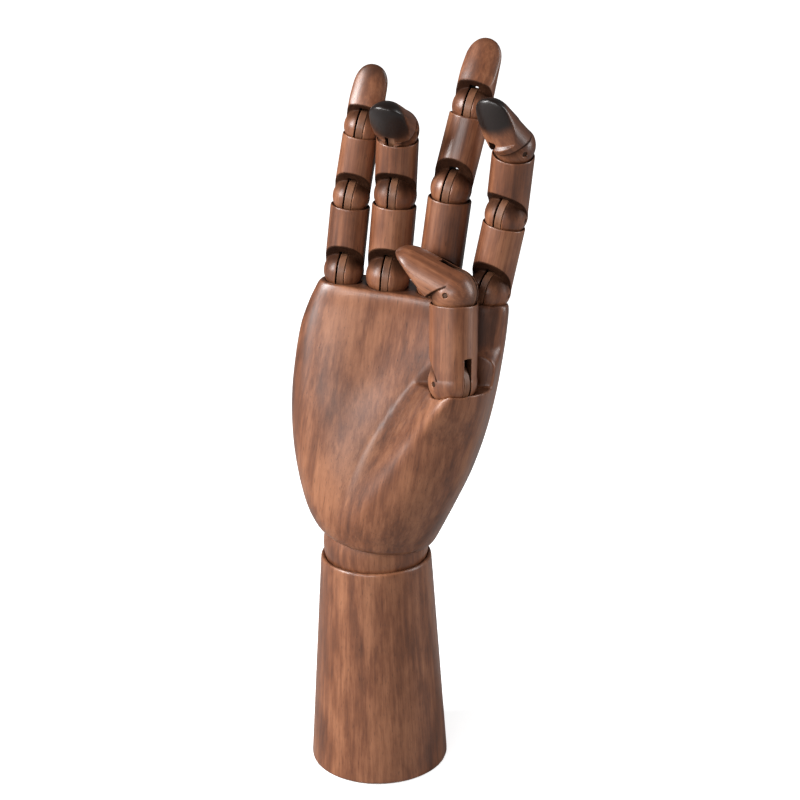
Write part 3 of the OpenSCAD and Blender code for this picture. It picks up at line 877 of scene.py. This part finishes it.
def pale_floor():
    """Nearly white to the eye, but a dull grey to the wood, so that it throws little light up."""
    n = Nodes("pale_floor")
    place = n.add("ShaderNodeTexCoord").outputs["Object"]
    tone = n.mix(n.noise(place, 3, 2), (0.88, 0.88, 0.88, 1), (0.9, 0.9, 0.9, 1))
    base = n.add("ShaderNodeBsdfDiffuse", {"Color": tone})
    seen = n.add("ShaderNodeLightPath").outputs["Is Camera Ray"]
    away = n.add("ShaderNodeVectorMath", {0: place}, operation="LENGTH").outputs["Value"]
    strength = n.math("MULTIPLY", seen, n.range(away, 0.3, 1.3, 0.66, 0.95))
    glow = n.add("ShaderNodeEmission", {"Color": (1, 1, 1, 1), "Strength": strength})
    both = n.add("ShaderNodeAddShader", {0: base.outputs[0], 1: glow.outputs[0]})
    dim = n.add("ShaderNodeBsdfDiffuse", {"Color": (0.3, 0.3, 0.3, 1)})
    pick = n.add("ShaderNodeMixShader", {0: seen, 1: dim.outputs[0], 2: both.outputs[0]})
    return n.output(pick.outputs[0])


def studio():
    """The floor, a white backdrop and three softboxes."""
    bm = bmesh.new()
    bmesh.ops.create_grid(bm, x_segments=2, y_segments=2, size=6)
    bmesh.ops.translate(bm, vec=(0, 0, -0.0002), verts=bm.verts)
    floor = finished(bm, "floor")
    floor.data.materials.append(pale_floor())

    world = bpy.data.worlds.new("studio")
    bpy.context.scene.world = world
    world.use_nodes = True
    tree = world.node_tree
    tree.nodes.clear()
    seen = tree.nodes.new("ShaderNodeBackground")
    seen.inputs["Color"].default_value, seen.inputs["Strength"].default_value = (1, 1, 1, 1), 1.0
    fill = tree.nodes.new("ShaderNodeBackground")
    fill.inputs["Color"].default_value, fill.inputs["Strength"].default_value = (1, 1, 1, 1), 0.12
    path = tree.nodes.new("ShaderNodeLightPath")
    mix = tree.nodes.new("ShaderNodeMixShader")
    out = tree.nodes.new("ShaderNodeOutputWorld")
    tree.links.new(path.outputs["Is Camera Ray"], mix.inputs[0])
    tree.links.new(fill.outputs[0], mix.inputs[1])
    tree.links.new(seen.outputs[0], mix.inputs[2])
    tree.links.new(mix.outputs[0], out.inputs[0])

    def softbox(name, place, size, power):
        """An area light aimed at the middle of the object."""
        target = Vector((0, 0, 0.17))
        light = bpy.data.lights.new(name, "AREA")
        light.shape, light.size, light.size_y, light.energy = "RECTANGLE", size[0], size[1], power
        lamp = bpy.data.objects.new(name, light)
        lamp.location = place
        lamp.rotation_euler = (target - Vector(place)).to_track_quat("-Z", "Y").to_euler()
        bpy.context.scene.collection.objects.link(lamp)

    softbox("key", (-0.95, -0.6, 0.75), (0.35, 0.7), 29)
    softbox("front", (-0.35, -1.75, 0.6), (1.3, 0.45), 17)
    softbox("rim", (1.0, 0.15, 0.5), (0.3, 0.9), 7)


def camera():
    """Seen from 15 degrees to the thumb side and about 20 degrees above, with an 85 mm lens."""
    lens = bpy.data.cameras.new("camera")
    lens.sensor_width, lens.lens = 36, 85.5
    lens.clip_start, lens.clip_end = 0.05, 20
    view = bpy.data.objects.new("camera", lens)
    bpy.context.scene.collection.objects.link(view)
    azimuth, pitch, roll = math.radians(14.15), math.radians(19.86), math.radians(-0.756)
    view.matrix_world = (Matrix.Translation((0.1839, -0.6864, 0.4149)) @ Matrix.Rotation(azimuth, 4, "Z")
                         @ Matrix.Rotation(math.pi / 2 - pitch, 4, "X") @ Matrix.Rotation(roll, 4, "Z"))
    bpy.context.scene.camera = view
    bpy.context.scene.view_settings.view_transform = "Standard"


# ---------------------------------------------------------------- make everything

camera()
studio()
stand_piece()
plug_piece()
wrist_ball_piece()
steel_hardware()
palm_piece()
for finger, parts in FINGERS.items():
    for k, part in enumerate(parts):
        make = tip_piece if part == "tip" else link_piece
        make(f"{finger}_{part}")
        tongue_piece(finger, k)
        pin_piece(finger, k)
